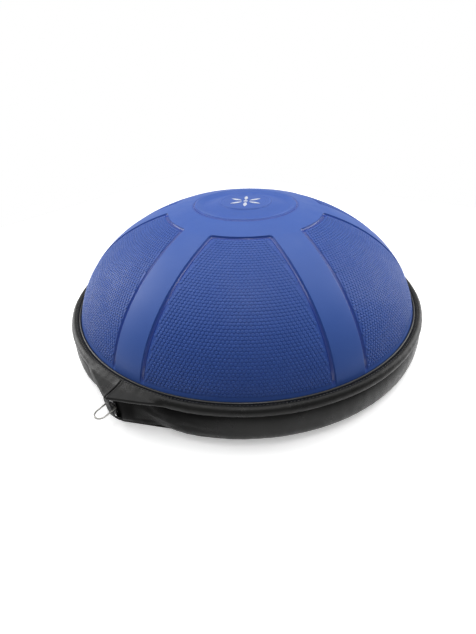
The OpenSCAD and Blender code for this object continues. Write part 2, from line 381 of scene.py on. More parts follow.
class Graph:
    """A new material with one short method that adds nodes."""

    def __init__(self, name: str) -> None:
        """Starts the material with a Principled shader joined to the output."""
        self.material = bpy.data.materials.new(name)
        self.material.use_nodes = True
        self.material.node_tree.nodes.clear()
        self.shader = self.add("ShaderNodeBsdfPrincipled")
        self.add("ShaderNodeOutputMaterial", Surface=self.shader.outputs[0])
        self.place = self.add("ShaderNodeTexCoord").outputs["Object"]

    def add(self, kind: str, settings: dict[str, object] | None = None, **inputs: Value) -> bpy.types.Node:
        """Adds a node, sets it up and fills or links its inputs.

        Args:
            kind: the node's type.
            settings: node properties by name.
            **inputs: values or sockets by input name, with _ for a space.

        Returns:
            The new node.
        """
        node = self.material.node_tree.nodes.new(kind)
        for name, value in (settings or {}).items():
            setattr(node, name, value)
        for name, value in inputs.items():
            self.feed(node, name, value)
        return node

    def feed(self, node: bpy.types.Node, name: str, value: Value) -> None:
        """Fills or links one input of a node; a digit after i picks it by number."""
        socket = node.inputs[int(name[1:])] if name[1:].isdigit() else node.inputs[name.replace("_", " ")]
        if isinstance(value, bpy.types.NodeSocket):
            self.material.node_tree.links.new(value, socket)
        else:
            socket.default_value = linear(value) if isinstance(value, str) else value

    def surface(self, **inputs: Value) -> None:
        """Fills or links inputs of the Principled shader."""
        for name, value in inputs.items():
            self.feed(self.shader, name, value)

    def noise(self, size_mm: float, detail: float = 3.0, place: Value | None = None) -> bpy.types.NodeSocket:
        """Noise whose blotches are about size_mm across."""
        node = self.add(
            "ShaderNodeTexNoise", Vector=place or self.place, Scale=1000 / size_mm, Detail=detail
        )
        return node.outputs["Fac"]

    def cells(self, size_mm: float, feature: str = "F1", place: Value | None = None) -> bpy.types.NodeSocket:
        """Distance field of random cells about size_mm across."""
        node = self.add(
            "ShaderNodeTexVoronoi", {"feature": feature}, Vector=place or self.place, Scale=1000 / size_mm
        )
        return node.outputs["Distance"]

    def maths(self, operation: str, a: Value, b: Value = 0.0) -> bpy.types.NodeSocket:
        """One Math node."""
        return self.add("ShaderNodeMath", {"operation": operation}, i0=a, i1=b).outputs[0]

    def span(
        self, value: Value, low: float, high: float, to_low: float, to_high: float
    ) -> bpy.types.NodeSocket:
        """Maps low..high to to_low..to_high, clamped."""
        node = self.add("ShaderNodeMapRange", i0=value, i1=low, i2=high, i3=to_low, i4=to_high)
        return node.outputs[0]

    def mix(self, share: Value, a: Value, b: Value) -> bpy.types.NodeSocket:
        """Mixes two colours."""
        return self.add("ShaderNodeMix", {"data_type": "RGBA"}, i0=share, i6=a, i7=b).outputs[2]

    def sunk(self) -> bpy.types.NodeSocket:
        """How far the surface is sunk or lies in painted shade, from 0 to 1, as the mesh's attribute says."""
        return self.add("ShaderNodeAttribute", {"attribute_name": SUNK}).outputs["Fac"]

    def axis(self, which: int) -> bpy.types.NodeSocket:
        """One Object coordinate: 0 is X, 1 is Y and 2 is Z."""
        return self.add("ShaderNodeSeparateXYZ", i0=self.place).outputs[which]

    def relief(self, height: Value, depth_mm: float, strength: float = 1.0) -> None:
        """Joins a bump of the given depth to the shader's normal."""
        node = self.add("ShaderNodeBump", Height=height, Distance=depth_mm * MM, Strength=strength)
        self.surface(Normal=node.outputs[0])


@dataclass(frozen=True)
class MouldedPvc:
    """Rotation-moulded soft PVC: satin blue skin, glossier where it is sunk, with painted shade that deepens its
    colour where it is sunk.
    """

    name: str = "moulded_pvc_blue"
    colour: str = "#3A5AA4"
    bloom: str = "#4464AD"
    # deep is the colour of the painted shade in grooves, panel floors, knob bases and round the hub's dish.
    deep: str = "#16358E"
    roughness: float = 0.42
    deep_roughness: float = 0.12

    def make(self) -> bpy.types.Material:
        """Builds the material."""
        g = Graph(self.name)
        sunk = g.sunk()
        cloud = g.span(g.noise(70, 4), 0.35, 0.7, 0.0, 1.0)
        tint = g.mix(g.maths("MULTIPLY", cloud, 0.4), self.colour, self.bloom)
        speck = g.span(g.cells(0.9), 0.0, 0.5, 0.94, 1.03)
        tone = g.add("ShaderNodeHueSaturation", Color=tint, Value=speck).outputs[0]
        # Painted shade: the colour turns towards deep where the attribute marks the surface sunk.
        base = g.mix(g.span(sunk, 0.0, 1.0, 0.0, 0.85), tone, self.deep)
        rough = g.span(g.noise(25, 5), 0.3, 0.7, self.roughness - 0.05, self.roughness + 0.08)
        wet = g.span(sunk, 0.45, 1.0, 0.0, 1.0)
        drop = g.maths("MULTIPLY", wet, self.roughness - self.deep_roughness)
        g.surface(
            Base_Color=base,
            Roughness=g.maths("SUBTRACT", rough, drop),
            Specular_IOR_Level=g.span(wet, 0.0, 1.0, 0.25, 0.45),
        )
        g.relief(g.noise(2.2, 4), 0.04, 0.5)
        return g.material


@dataclass(frozen=True)
class Leatherette:
    """PVC-coated fabric: embossed pebble grain with hair lines in the valleys, and painted shade that darkens it and
    dims its reflection where the attribute marks it.
    """

    name: str = "embossed_leatherette"
    colour: str = "#0F0F0E"
    worn: str = "#191918"
    grain_mm: float = 1.0
    roughness: float = 0.31

    def make(self) -> bpy.types.Material:
        """Builds the material."""
        g = Graph(self.name)
        warp = g.add("ShaderNodeTexNoise", Vector=g.place, Scale=420.0, Detail=2.0).outputs["Color"]
        place = g.add("ShaderNodeMixRGB", Fac=0.0025, Color1=g.place, Color2=warp).outputs[0]
        pebble = g.cells(self.grain_mm, "DISTANCE_TO_EDGE", place)
        rise = g.span(pebble, 0.0, 0.28, 0.0, 1.0)
        fine = g.noise(0.35, 2)
        height = g.maths("ADD", rise, g.maths("MULTIPLY", fine, 0.35))
        cloud = g.span(g.noise(38, 4), 0.4, 0.75, 0.0, 0.55)
        tint = g.mix(cloud, self.colour, self.worn)
        valley = g.mix(g.span(rise, 0.0, 0.6, 0.5, 0.0), tint, "#070707")
        rough = g.span(g.noise(17, 5), 0.3, 0.7, self.roughness - 0.07, self.roughness + 0.1)
        # Painted shade: where the attribute marks the side band under the flaps, the colour goes near black and the
        # reflection is dimmed.
        shade = g.sunk()
        g.surface(
            Base_Color=g.mix(shade, valley, "#030303"),
            Roughness=rough,
            Specular_IOR_Level=g.span(shade, 0.0, 1.0, 0.2, 0.03),
        )
        g.relief(height, 0.1, 0.45)
        return g.material


@dataclass(frozen=True)
class WovenTape:
    """Polyamide webbing: twill ribs across the tape with fine yarn."""

    name: str = "woven_tape"
    colour: str = "#1E1E1F"
    yarn_mm: float = 0.9

    def make(self) -> bpy.types.Material:
        """Builds the material."""
        g = Graph(self.name)
        settings = {"wave_type": "BANDS", "bands_direction": "Z"}
        rows = g.add("ShaderNodeTexWave", settings, Vector=g.place, Scale=300 / self.yarn_mm, Distortion=0.4)
        across = {"wave_type": "BANDS", "bands_direction": "X"}
        yarns = g.add("ShaderNodeTexWave", across, Vector=g.place, Scale=380 / self.yarn_mm, Distortion=0.4)
        weave = g.maths("MULTIPLY", rows.outputs["Fac"], yarns.outputs["Fac"])
        fuzz = g.noise(0.4, 3)
        tint = g.mix(weave, "#101011", self.colour)
        g.surface(Base_Color=g.mix(g.maths("MULTIPLY", fuzz, 0.3), tint, "#3C3C3E"), Roughness=0.72)
        g.surface(Sheen_Weight=0.25, Sheen_Roughness=0.4)
        g.relief(g.maths("ADD", weave, g.maths("MULTIPLY", fuzz, 0.3)), 0.25, 0.8)
        return g.material


@dataclass(frozen=True)
class BirchPly:
    """Sanded birch plywood: pale face grain and glued veneers on the edge."""

    name: str = "birch_plywood"
    colour: str = "#C9AA7A"
    dark: str = "#9A7748"
    veneer_mm: float = 1.5

    def make(self) -> bpy.types.Material:
        """Builds the material."""
        g = Graph(self.name)
        stretch = g.add("ShaderNodeMapping", Vector=g.place, Scale=(1.0, 14.0, 1.0)).outputs[0]
        grain = g.noise(38, 6, stretch)
        layer = g.maths("FRACT", g.maths("MULTIPLY", g.axis(2), 1000 / (2 * self.veneer_mm)))
        glue = g.span(layer, 0.47, 0.53, 0.0, 0.5)
        tint = g.mix(g.span(grain, 0.35, 0.7, 0.0, 0.7), self.colour, self.dark)
        g.surface(Base_Color=g.mix(glue, tint, self.dark), Roughness=g.span(grain, 0.3, 0.7, 0.5, 0.66))
        g.relief(grain, 0.12, 0.5)
        return g.material


@dataclass(frozen=True)
class MouldedSheet:
    """Moulded sheet goods such as rubber, foam and plastic, told apart by colour, pore and gloss."""

    name: str
    colour: str
    light: str
    roughness: float
    pore_mm: float
    pore_depth_mm: float
    sheen: float = 0.0

    def make(self) -> bpy.types.Material:
        """Builds the material."""
        g = Graph(self.name)
        pores = g.cells(self.pore_mm)
        cloud = g.noise(24, 4)
        tint = g.mix(g.span(cloud, 0.35, 0.7, 0.0, 0.7), self.colour, self.light)
        shade = g.span(pores, 0.0, 0.45, 0.8, 1.04)
        dark = g.add("ShaderNodeHueSaturation", Color=tint, Value=shade).outputs[0]
        rough = g.span(cloud, 0.3, 0.7, self.roughness - 0.05, self.roughness + 0.06)
        g.surface(Base_Color=dark, Roughness=rough, Sheen_Weight=self.sheen)
        g.relief(g.maths("ADD", pores, g.maths("MULTIPLY", g.noise(0.5, 2), 0.4)), self.pore_depth_mm, 0.7)
        return g.material


@dataclass(frozen=True)
class PlatedSteel:
    """Plated steel: drawn or pressed, with faint drawing lines and handling marks."""

    name: str
    colour: str
    dull: str
    roughness: float
    line_mm: float = 0.25

    def make(self) -> bpy.types.Material:
        """Builds the material."""
        g = Graph(self.name)
        stretch = g.add("ShaderNodeMapping", Vector=g.place, Scale=(9.0, 1.0, 1.0)).outputs[0]
        lines = g.noise(self.line_mm * 9, 3, stretch)
        marks = g.span(g.noise(3.5, 5), 0.45, 0.75, 0.0, 0.8)
        wear = g.maths("ADD", g.maths("MULTIPLY", lines, 0.4), marks)
        rough = g.span(wear, 0.1, 1.1, self.roughness, self.roughness + 0.2)
        g.surface(Base_Color=g.mix(marks, self.colour, self.dull), Metallic=1.0, Roughness=rough)
        g.relief(lines, 0.02, 0.5)
        return g.material


@dataclass(frozen=True)
class SilverInk:
    """Pad-printed silver ink: metal flakes in lacquer, a little rubbed."""

    name: str = "silver_ink"
    colour: str = "#D3D7E2"
    rubbed: str = "#8F9BBF"

    def make(self) -> bpy.types.Material:
        """Builds the material."""
        g = Graph(self.name)
        flake = g.cells(0.5)
        rub = g.span(g.noise(4.5, 5), 0.52, 0.72, 0.0, 0.7)
        tint = g.mix(rub, self.colour, self.rubbed)
        g.surface(Base_Color=tint, Metallic=0.35, Roughness=g.span(flake, 0.0, 0.6, 0.28, 0.5))
        g.relief(flake, 0.03, 0.4)
        return g.material


# ----------------------------------------------------------------------------- air dome


@dataclass
class AirDome:
    """The blown dome: six smooth ribs, six sunk panels of grip knobs, a hub with a dish and a disc.

    Sizes are in millimetres and follow the frame.
    """

    half_width: float = 289.0
    rise: float = 190.0
    mid_z: float = 32.0
    wall: float = 4.0
    lip_arc: float = 11.0
    lip_flat: float = 10.0
    crown_r: float = 130.0
    crown_z: float = 218.0
    hub_r: float = 127.0
    dish_r: float = 78.0
    dish_slope: float = 4.0
    dish_depth: float = 3.0
    moat_extra: float = 2.2
    disc_r: float = 42.0
    disc_t: float = 1.2
    ribs: int = 6
    rib_half: float = 23.0
    groove_w: float = 6.2
    groove_depth: float = 3.0
    panel_depth: float = 1.2
    knob_pitch: float = 5.0
    knob_row: float = 4.25
    knob_r: float = 2.2
    knob_h: float = 0.85
    corner_round: float = 5.0
    skin: MouldedPvc = field(default_factory=MouldedPvc)

    def curve_z(self, r: float) -> float:
        """Height of the dome's full curve at radius r."""
        return self.mid_z + self.rise * math.sqrt(max(0.0, 1 - (r / self.half_width) ** 2))

    def crown(self, r: float) -> float:
        """Height of the flattened crown at radius r."""
        edge = self.curve_z(self.crown_r)
        return edge + (self.crown_z - edge) * (1 - (r / self.crown_r) ** 2)

    def arc(self) -> np.ndarray:
        """Dense (r, z, length) table of the dome's curve, from the widest level up to the crown's edge."""
        end = math.acos(self.crown_r / self.half_width)
        a = np.linspace(0.0, end, 900)
        r = self.half_width * np.cos(a)
        z = self.mid_z + self.rise * np.sin(a)
        inner = np.linspace(self.crown_r, 95.0, 80)[1:]
        r = np.concatenate([r, inner])
        z = np.concatenate([z, [self.crown(v) for v in inner]])
        length = np.concatenate([[0.0], np.cumsum(np.hypot(np.diff(r), np.diff(z)))])
        return np.stack([r, z, length], axis=1)

    @staticmethod
    def at_length(table: np.ndarray, s: float) -> tuple[float, float]:
        """Radius and height at length s up the curve of an arc() table."""
        return float(np.interp(s, table[:, 2], table[:, 0])), float(np.interp(s, table[:, 2], table[:, 1]))

    def hub_length(self, table: np.ndarray) -> float:
        """Length up the curve of an arc() table to the hub's edge."""
        return float(np.interp(-self.hub_r, -table[:, 0], table[:, 2]))

    def outer_rows(self) -> list[tuple[float, float]]:
        """Profile of the outer face, from the inner edge of the lip to the middle of the hub."""
        lip_x = self.half_width - self.lip_arc
        low = self.mid_z - self.lip_arc
        rows = [(lip_x - self.lip_flat, low), (lip_x - self.lip_flat / 2, low), (lip_x, low)]
        for a in np.radians(np.linspace(-78, -8, 7)):
            rows.append((lip_x + self.lip_arc * math.cos(a), self.mid_z + self.lip_arc * math.sin(a)))
        table = self.arc()
        hub = self.hub_length(table)
        steps = np.concatenate([np.arange(0, hub - 9, 2.9), np.arange(hub - 8.4, hub + 2, 0.5)])
        steps = np.concatenate([steps, np.arange(hub + 5, table[-1, 2], 5.0)])
        rows += [self.at_length(table, s) for s in steps]
        lip = self.dish_r + self.dish_slope
        radii = [93.0, 90.0] + [lip + v for v in np.arange(6.0, -2.1, -0.45)]
        radii += [float(v) for v in np.arange(79.0, 66.0, -1.5)] + [65.5, 63, 60, 56, 52, 48, 45.5]
        radii += [self.disc_r + v for v in np.arange(2.0, -2.0, -0.35)]
        radii += [float(v) for v in np.arange(39.4, 30.2, -0.45)] + [27, 22, 16, 10, 5, 0]
        rows += [(r, self.hub_height(r)) for r in radii]
        return rows

    def hub_height(self, r: float) -> float:
        """Height of the hub at radius r: crown, crease, beaded lip, hollow dish and low disc with rings."""
        lip = self.dish_r + self.dish_slope
        moat = self.dish_depth + self.moat_extra * float(eased(46, 64, r))
        bead = 0.9 * float(bump(r, lip + 1.0, 3.6))
        crease = 1.1 * float(bump(r, lip + 3.4, 2.0))
        ground = self.crown(r) - moat * float(eased(lip + 0.5, lip - 13.5, r)) + bead - crease
        disc = self.crown(self.disc_r) - self.dish_depth + self.disc_t - 0.05
        step = float(eased(self.disc_r + 1.2, self.disc_r - 0.2, r))
        edge = 0.45 * float(bump(r, self.disc_r - 1.0, 0.6))
        rings = sum(0.2 * float(bump(r, v, 0.5)) for v in (36.0, 32.0))
        return ground * (1 - step) + (disc + edge + rings) * step

    def inner_rows(self) -> list[tuple[float, float]]:
        """Profile of the inner face, from the middle of the hub back to the lip."""
        drop = self.wall + self.dish_depth
        rows = [(r, self.crown(r) - drop) for r in (0.0, 30.0, 60.0, 90.0, 115.0)]
        wide, tall = self.half_width - self.wall, self.rise - self.wall
        end = math.acos((self.crown_r - 4) / wide)
        for a in np.linspace(end * 0.97, 0, 26):
            rows.append((wide * math.cos(a), self.mid_z + tall * math.sin(a)))
        lip_x = self.half_width - self.lip_arc
        for a in np.radians([-20, -45, -70, -90]):
            reach = self.lip_arc - self.wall
            rows.append((lip_x + reach * math.cos(a), self.mid_z + reach * math.sin(a)))
        rows.append((lip_x - self.lip_flat, self.mid_z - self.lip_arc + self.wall))
        return rows

    def rib_columns(self) -> np.ndarray:
        """Signed distances from a rib's middle of the columns on the rib and in its two grooves."""
        steps = np.array([-2.0, -0.8, -0.25, 0.1, 0.5, 1.0, 1.8, 3.1, 4.4, 5.2, 5.7, 6.1, 6.45, 7.0, 8.4])
        groove = self.rib_half + steps
        half = np.concatenate([[3.5, 7.5, 11.5, 15.0, 18.5], groove])
        return np.concatenate([-half[::-1], [0.0], half])

    def sink(self, across: np.ndarray, down: np.ndarray, height: np.ndarray) -> np.ndarray:
        """Depth of the skin below the dome's curve, from the groove and the panel.

        Args:
            across: distance outside the rib's edge.
            down: distance below the hub's edge along the skin.
            height: height above the floor.

        Returns:
            Depths in millimetres.
        """
        inside = soft_min(across, down, self.corner_round)
        middle = self.groove_w / 2
        round_u = np.clip(1 - np.abs((inside - middle) / middle) ** 2.6, 0, 1) ** 0.7
        level = self.panel_depth * eased(middle, self.groove_w, inside)
        depth = level + (self.groove_depth - level) * round_u
        return depth * eased(58, 67, height)

    def shell(self) -> bpy.types.Object:
        """The dome's skin as one closed wall."""
        outer, inner = self.outer_rows(), self.inner_rows()
        profile = np.array(outer + inner)
        count = len(outer)
        mid = self.rib_columns()
        panel = np.linspace(0, 1, 22)[1:-1]
        per = len(mid) + len(panel)
        columns = per * self.ribs
        table = self.arc()
        hub = self.hub_length(table)
        slope = np.gradient(profile[:, 1]), np.gradient(profile[:, 0])
        length = np.hypot(*slope) + 1e-9
        normal = np.stack([slope[0] / length, -slope[1] / length], axis=1)

        def lay(row: np.ndarray, column: np.ndarray) -> tuple[np.ndarray, np.ndarray]:
            """Angles and depths of the wall's vertices."""
            r, z = profile[row, 0], profile[row, 1]
            sector, k = column // per, column % per
            reach = np.maximum(r, 96.0)
            in_mid = k < len(mid)
            x = mid[np.minimum(k, len(mid) - 1)]
            edge = np.arcsin(np.clip(mid[-1] / reach, -1, 1))
            share = panel[np.clip(k - len(mid), 0, len(panel) - 1)]
            wide = FULL_TURN / self.ribs
            local = np.where(in_mid, np.arcsin(x / reach), edge + share * (wide - 2 * edge))
            angle = sector * wide + local
            near = (local + wide / 2) % wide - wide / 2
            across = r * np.sin(np.abs(near)) - self.rib_half
            along = np.interp(-r, -table[:, 0], table[:, 2])
            depth = self.sink(across, hub - along, z)
            skin = (row < count) & (r > 110) & (z > self.mid_z)
            return angle, np.where(skin, depth, 0.0)

        def place(row: np.ndarray, column: np.ndarray) -> np.ndarray:
            """Places of the wall's vertices."""
            angle, depth = lay(row, column)
            sunk = profile[row] - normal[row] * depth[:, None]
            return polar(sunk[:, 0], angle, sunk[:, 1])

        def paint(row: np.ndarray, column: np.ndarray) -> np.ndarray:
            """How far the wall's vertices are sunk, which the finish paints as shade, plus a painted shadow line
            along the crease round the dish and faint painted shade inside the dish.
            """
            r = profile[row, 0]
            lip = self.dish_r + self.dish_slope
            # Painted shadow line along the crease just outside the dish's lip, and faint painted shade inside the
            # dish.
            hub_painted_shade = 0.8 * bump(r, lip + 3.2, 2.4) + 0.12 * eased(lip, lip - 12, r)
            return lay(row, column)[1] / self.groove_depth + np.where(row < count, hub_painted_shade, 0.0)

        return spun_band("dome_skin", profile, columns, place, paint=paint)

    def knob(self) -> bpy.types.Object:
        """One grip knob: an eight-sided pad with a rounded edge and a dimple."""
        drop_selection()
        bpy.ops.mesh.primitive_circle_add(vertices=8, radius=self.knob_r * MM, fill_type="NGON")
        obj = bpy.context.object
        bpy.ops.object.mode_set(mode="EDIT")
        bpy.ops.mesh.select_mode(type="FACE")
        bpy.ops.mesh.select_all(action="SELECT")
        for rise, scale in ((0.62, 0.95), (0.3, 0.84)):
            move = {"value": (0, 0, rise * self.knob_h * MM)}
            bpy.ops.mesh.extrude_region_move(TRANSFORM_OT_translate=move)
            bpy.ops.transform.resize(value=(scale, scale, 1))
        bpy.ops.mesh.extrude_region_move(TRANSFORM_OT_translate={"value": (0, 0, 0.08 * self.knob_h * MM)})
        bpy.ops.transform.resize(value=(0.55, 0.55, 1))
        bpy.ops.mesh.extrude_region_move(TRANSFORM_OT_translate={"value": (0, 0, -0.4 * self.knob_h * MM)})
        bpy.ops.transform.resize(value=(0.4, 0.4, 1))
        bpy.ops.mesh.select_mode(type="EDGE")
        bpy.ops.mesh.select_all(action="DESELECT")
        bpy.ops.mesh.select_non_manifold()
        bpy.ops.mesh.edge_face_add()
        bpy.ops.mesh.select_all(action="SELECT")
        bpy.ops.mesh.normals_make_consistent(inside=False)
        bpy.ops.object.mode_set(mode="OBJECT")
        return obj

    def knob_frames(self) -> np.ndarray:
        """Places and axes of the knobs of the panel after the first rib."""
        table = self.arc()
        hub = self.hub_length(table)
        wide = FULL_TURN / self.ribs
        frames = []
        rows = int((hub - 36) / self.knob_row)
        for i in range(rows):
            s = hub - self.groove_w - 2.4 - i * self.knob_row
            r, z = self.at_length(table, s)
            if z < 65:
                break
            next_r, next_z = self.at_length(table, s + 1)
            dr, dz = next_r - r, next_z - z
            half = int(r * wide / 2 / self.knob_pitch) + 1
            steps = np.arange(-half, half + 1) * self.knob_pitch + (i % 2) * self.knob_pitch / 2
            for step in steps:
                turn = step / r
                across = r * math.sin(wide / 2 - abs(turn)) - self.rib_half
                inside = float(soft_min(across, hub - s, self.corner_round))
                if abs(turn) > wide / 2 or inside < self.groove_w + 1.9:
                    continue
                sine, cosine = math.sin(wide / 2 + turn), math.cos(wide / 2 + turn)
                normal = (dz * sine, -dz * cosine, -dr)
                depth = self.panel_depth + 0.1
                base = tuple(v - n * depth for v, n in zip((r * sine, -r * cosine, z), normal))
                frames.append((base, (cosine, sine, 0.0), (dr * sine, -dr * cosine, dz), normal))
        return np.array(frames)

    def build(self) -> None:
        """Builds and dresses the skin and the six grip panels."""
        material = self.skin.make()
        shell = dress(self.shell(), material)
        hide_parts("dome_shell")
        knob = self.knob()
        height = get_points(knob)[:, 2] / self.knob_h
        # Painted shade at the knobs' bases, darkest in the gaps between knobs and faint in their dimples.
        first = copies("grip_panel_1", knob, self.knob_frames(), np.clip(0.75 - 0.9 * height, 0, 1))
        take(first)
        bpy.ops.object.shade_smooth_by_angle(angle=math.radians(50))
        step = FULL_TURN / self.ribs
        others = [turned_copy(first, f"grip_panel_{i + 1}", i * step) for i in range(1, self.ribs)]
        for panel in [first, *others]:
            dress(panel, material)


# ----------------------------------------------------------------------------- rim cover


@dataclass(frozen=True)
class Corner:
    """Plan of a pointed corner: a circle whose tangents meet at a tip.

    Sizes are in millimetres.
    """

    radius: float
    tip: float

    @property
    def spread(self) -> float:
        """Angle in radians from the tip to where the straight edges touch the circle."""
        return math.acos(self.radius / self.tip)

    def reach(self, away: np.ndarray) -> np.ndarray:
        """Distance of the edge from the middle at an angle away from the tip."""
        return self.radius / np.cos(np.clip(self.spread - away, 0.0, None))

    def share(self, away: np.ndarray) -> np.ndarray:
        """How far the edge stands out: 0 on the circle and 1 at the tip."""
        return (self.reach(away) - self.radius) / (self.tip - self.radius)


@dataclass
class RimCover:
    """The leatherette cover: hem, piping, top band with two flaps, side band and bottom flange.

    Sizes are in millimetres and follow the frame.
    """

    hem_r: float = 290.0
    piping_at: tuple[float, float] = (288.18, 58.5)
    piping_r: float = 1.6
    roll_at: tuple[float, float] = (294.5, 53.5)
    roll_r: float = 7.0
    cover_t: float = 2.0
    upper: Corner = Corner(301.5, 322.0)
    lower: Corner = Corner(288.0, 309.0)
    belly_r: float = 300.5
    neck_r: float = 297.0
    strap_side_r: float = 310.6
    seam_r: float = 305.0
    flap_t: float = 5.2
    seam_at: tuple[float, float] = (297.4, 47.0)
    side_r: float = 302.0
    side_mid_z: float = 26.0
    flange_in: float = 246.3
    flange_t: float = 3.0
    stitch_r: float = 293.2
    stitch_pitch: float = 4.6
    stitch_len: float = 3.3
    thread_r: float = 0.38
    leather: Leatherette = field(default_factory=Leatherette)

    def angles(self, spread: float) -> np.ndarray:
        """Column angles for a full turn, closer together at the two corner seams."""
        near = np.array([0.0, 0.35, 0.75, 1.2, 1.7, 2.3, 3.0, 3.9, 5.0, 6.4, 8.2]) / 310.0
        beside, rest = np.linspace(0.0335, spread, 44), np.linspace(spread, math.pi / 2, 125)[1:-1]
        half = np.concatenate([near, beside, rest])
        quarter = np.concatenate([half, [math.pi / 2]])
        back = math.pi - half[::-1]
        right = np.concatenate([quarter, back])
        return np.concatenate([right, FULL_TURN - right[-2:0:-1]])

    @staticmethod
    def away(angle: np.ndarray) -> np.ndarray:
        """Unsigned angle to the nearer tip."""
        turned = np.mod(angle, math.pi)
        return np.minimum(turned, math.pi - turned)

    def tension(self, angle: np.ndarray, height: np.ndarray) -> np.ndarray:
        """Creases that fan out from the corners, as the pulled leatherette shows, in mm.

        Args:
            angle: angles from the front tip.
            height: heights above the floor.

        Returns:
            Displacements along the outward normal.
        """
        rng = np.random.default_rng(23)
        turned = np.mod(angle + math.pi / 2, math.pi) - math.pi / 2
        along = turned * 302.0
        total = np.zeros(np.broadcast(angle, height).shape)
        for _ in range(34):
            side = rng.choice([-1.0, 1.0])
            start, end = side * rng.uniform(14, 60), side * rng.uniform(60, 165)
            low, high = rng.uniform(4, 40), rng.uniform(6, 44)
            share = np.clip((along - start) / (end - start), 0, 1)
            line = low + (high - low) * share
            gap = height - line
            passed = (along - start) / (end - start)
            inside = eased(-0.04, 0.15, passed) * eased(1.04, 0.75, passed)
            width = rng.uniform(1.3, 3.2)
            ridge = bump(gap, 0, width) - 0.6 * bump(gap, width * 2.0, width)
            total += -rng.uniform(0.15, 0.75) * inside * ridge
        return 0.45 * total

    def seam_fold(self, angle: np.ndarray, radius: float) -> np.ndarray:
        """Rise of the radial seam at each corner: a sewn crease with a rolled edge beside it."""
        turned = (np.mod(angle + math.pi / 2, math.pi) - math.pi / 2) * radius
        return -1.9 * bump(turned, 0.0, 0.75) + 0.7 * bump(turned, 2.1, 1.3) + 0.4 * bump(turned, -2.0, 1.2)

    def top_rows(self) -> tuple[np.ndarray, np.ndarray, np.ndarray]:
        """Profile of the top band.

        Returns:
            The (r, z) rows of the plain band; for each row its share of the way out on a flap;
            and its depth below the flap's top face. Rows that keep their place have share -1.
        """
        mid_r, mid_z = self.roll_at
        plain, out, deep = [], [], []

        def add(r: float, z: float, share: float = -1.0, depth: float = 0.0) -> None:
            """Adds one row."""
            plain.append((r, z))
            out.append(share)
            deep.append(depth)

        add(self.hem_r + 0.2, mid_z + 4.3)
        add(self.hem_r - 0.1, mid_z + 5.2)
        add(self.hem_r + 0.1, mid_z + 6.2)
        add(self.hem_r + 0.8, mid_z + 6.7)
        top = np.radians(np.linspace(108, 8, 15))
        for i, a in enumerate(top):
            share = i / (len(top) - 1)
            add(mid_r + self.roll_r * math.cos(a), mid_z + self.roll_r * math.sin(a), share)
        edge = np.radians(np.linspace(4, -34, 8))
        for i, a in enumerate(edge):
            add(mid_r + self.roll_r * math.cos(a), mid_z + self.roll_r * math.sin(a), 2.0, (i + 0.5) / 8)
        under = np.radians(np.linspace(-38, -60, 8))
        for i, a in enumerate(under):
            add(mid_r + self.roll_r * math.cos(a), mid_z + self.roll_r * math.sin(a), 3.0 + i / 8, 1.0)
        add(mid_r + 3.0, mid_z - 6.6)
        inner = self.roll_r - self.cover_t
        for a in np.radians([-58, -30, 0, 30, 60, 88, 108]):
            add(mid_r + inner * math.cos(a), mid_z + inner * math.sin(a))
        return np.array(plain), np.array(out), np.array(deep)

    def top_band(self) -> bpy.types.Object:
        """The top band: a roll round the rim that widens into a flat flap at each corner."""
        plain, out, deep = self.top_rows()
        angles = self.angles(self.upper.spread)
        in_r = self.roll_at[0] - 2.2
        top_z = self.roll_at[1] + self.roll_r

        def place(row: np.ndarray, column: np.ndarray) -> np.ndarray:
            """Places of the band's vertices."""
            angle = angles[column]
            away = self.away(angle)
            r, z = plain[row, 0], plain[row, 1]
            share, depth = out[row], deep[row]
            reach = self.upper.reach(away) - 0.9 * bump(away * self.upper.tip, 0, 2.2)
            stand = self.upper.share(away)
            blend = eased(0.0, 0.30, stand)
            edge_r = reach - self.flap_t / 2
            on_top = in_r + (edge_r - in_r) * np.clip(share, 0, 1)
            swell = 0.5 * ripple(angle, on_top, 5, 30, 90)

            def face_z(radius: np.ndarray) -> np.ndarray:
                """Height of the flap's top face."""
                drop = 3.2 * eased(in_r - 1, 303, radius) + 2.6 * np.clip((radius - 300) / 22, 0, 1)
                return top_z - 0.2 - drop + 0.35 * swell

            theta = math.pi / 2 - math.pi * depth
            flap_r = np.where(share <= 1, on_top, edge_r + self.flap_t / 2 * np.cos(theta))
            round_z = face_z(edge_r) - self.flap_t / 2 * (1 - np.sin(theta))
            flap_z = np.where(share <= 1, face_z(on_top), round_z)
            back = np.clip(share - 3.0, 0, 1)
            under_r = edge_r + (298.6 - edge_r) * back
            under_z = face_z(edge_r) - self.flap_t + (49.2 - face_z(edge_r) + self.flap_t) * back**1.6
            flap_r = np.where(share >= 3, under_r, flap_r)
            flap_z = np.where(share >= 3, under_z, flap_z)
            moves = share >= 0
            r = np.where(moves, r + (flap_r - r) * blend, r)
            z = np.where(moves, z + (flap_z - z) * blend, z)
            fold = self.seam_fold(angle, 310.0) * eased(0.02, 0.2, stand)
            z = z + np.where((share >= 0) & (share <= 1), fold * eased(0.0, 0.12, share), 0.0)
            r = r + np.where(share == 2.0, fold * 0.7, 0.0)
            wave = 0.12 * ripple(angle, z, 3, 60, 170) + 0.25 * ripple(angle, z, 4, 9, 30)
            r = r + np.where(moves, wave, 0.0)
            z = z + np.where(moves & (share <= 1), 0.1 * ripple(angle, r, 6, 70, 200), 0.0)
            return polar(r, angle, z)

        return spun_band("rim_top_band", plain, len(angles), place, angle=60)

    def side_profile(self, z: np.ndarray) -> np.ndarray:
        """Radius of the plain side band at height z."""
        low = self.lower.radius - 4
        up = np.clip((z - self.side_mid_z) / (self.seam_at[1] + 4 - self.side_mid_z), 0, 1)
        down = np.clip((self.side_mid_z - z) / (self.side_mid_z - 3.0), 0, 1)
        t = np.where(z > self.side_mid_z, up, down)
        return low + (self.side_r - low) * np.power(np.clip(1 - t**2.6, 0, 1), 1 / 2.6)

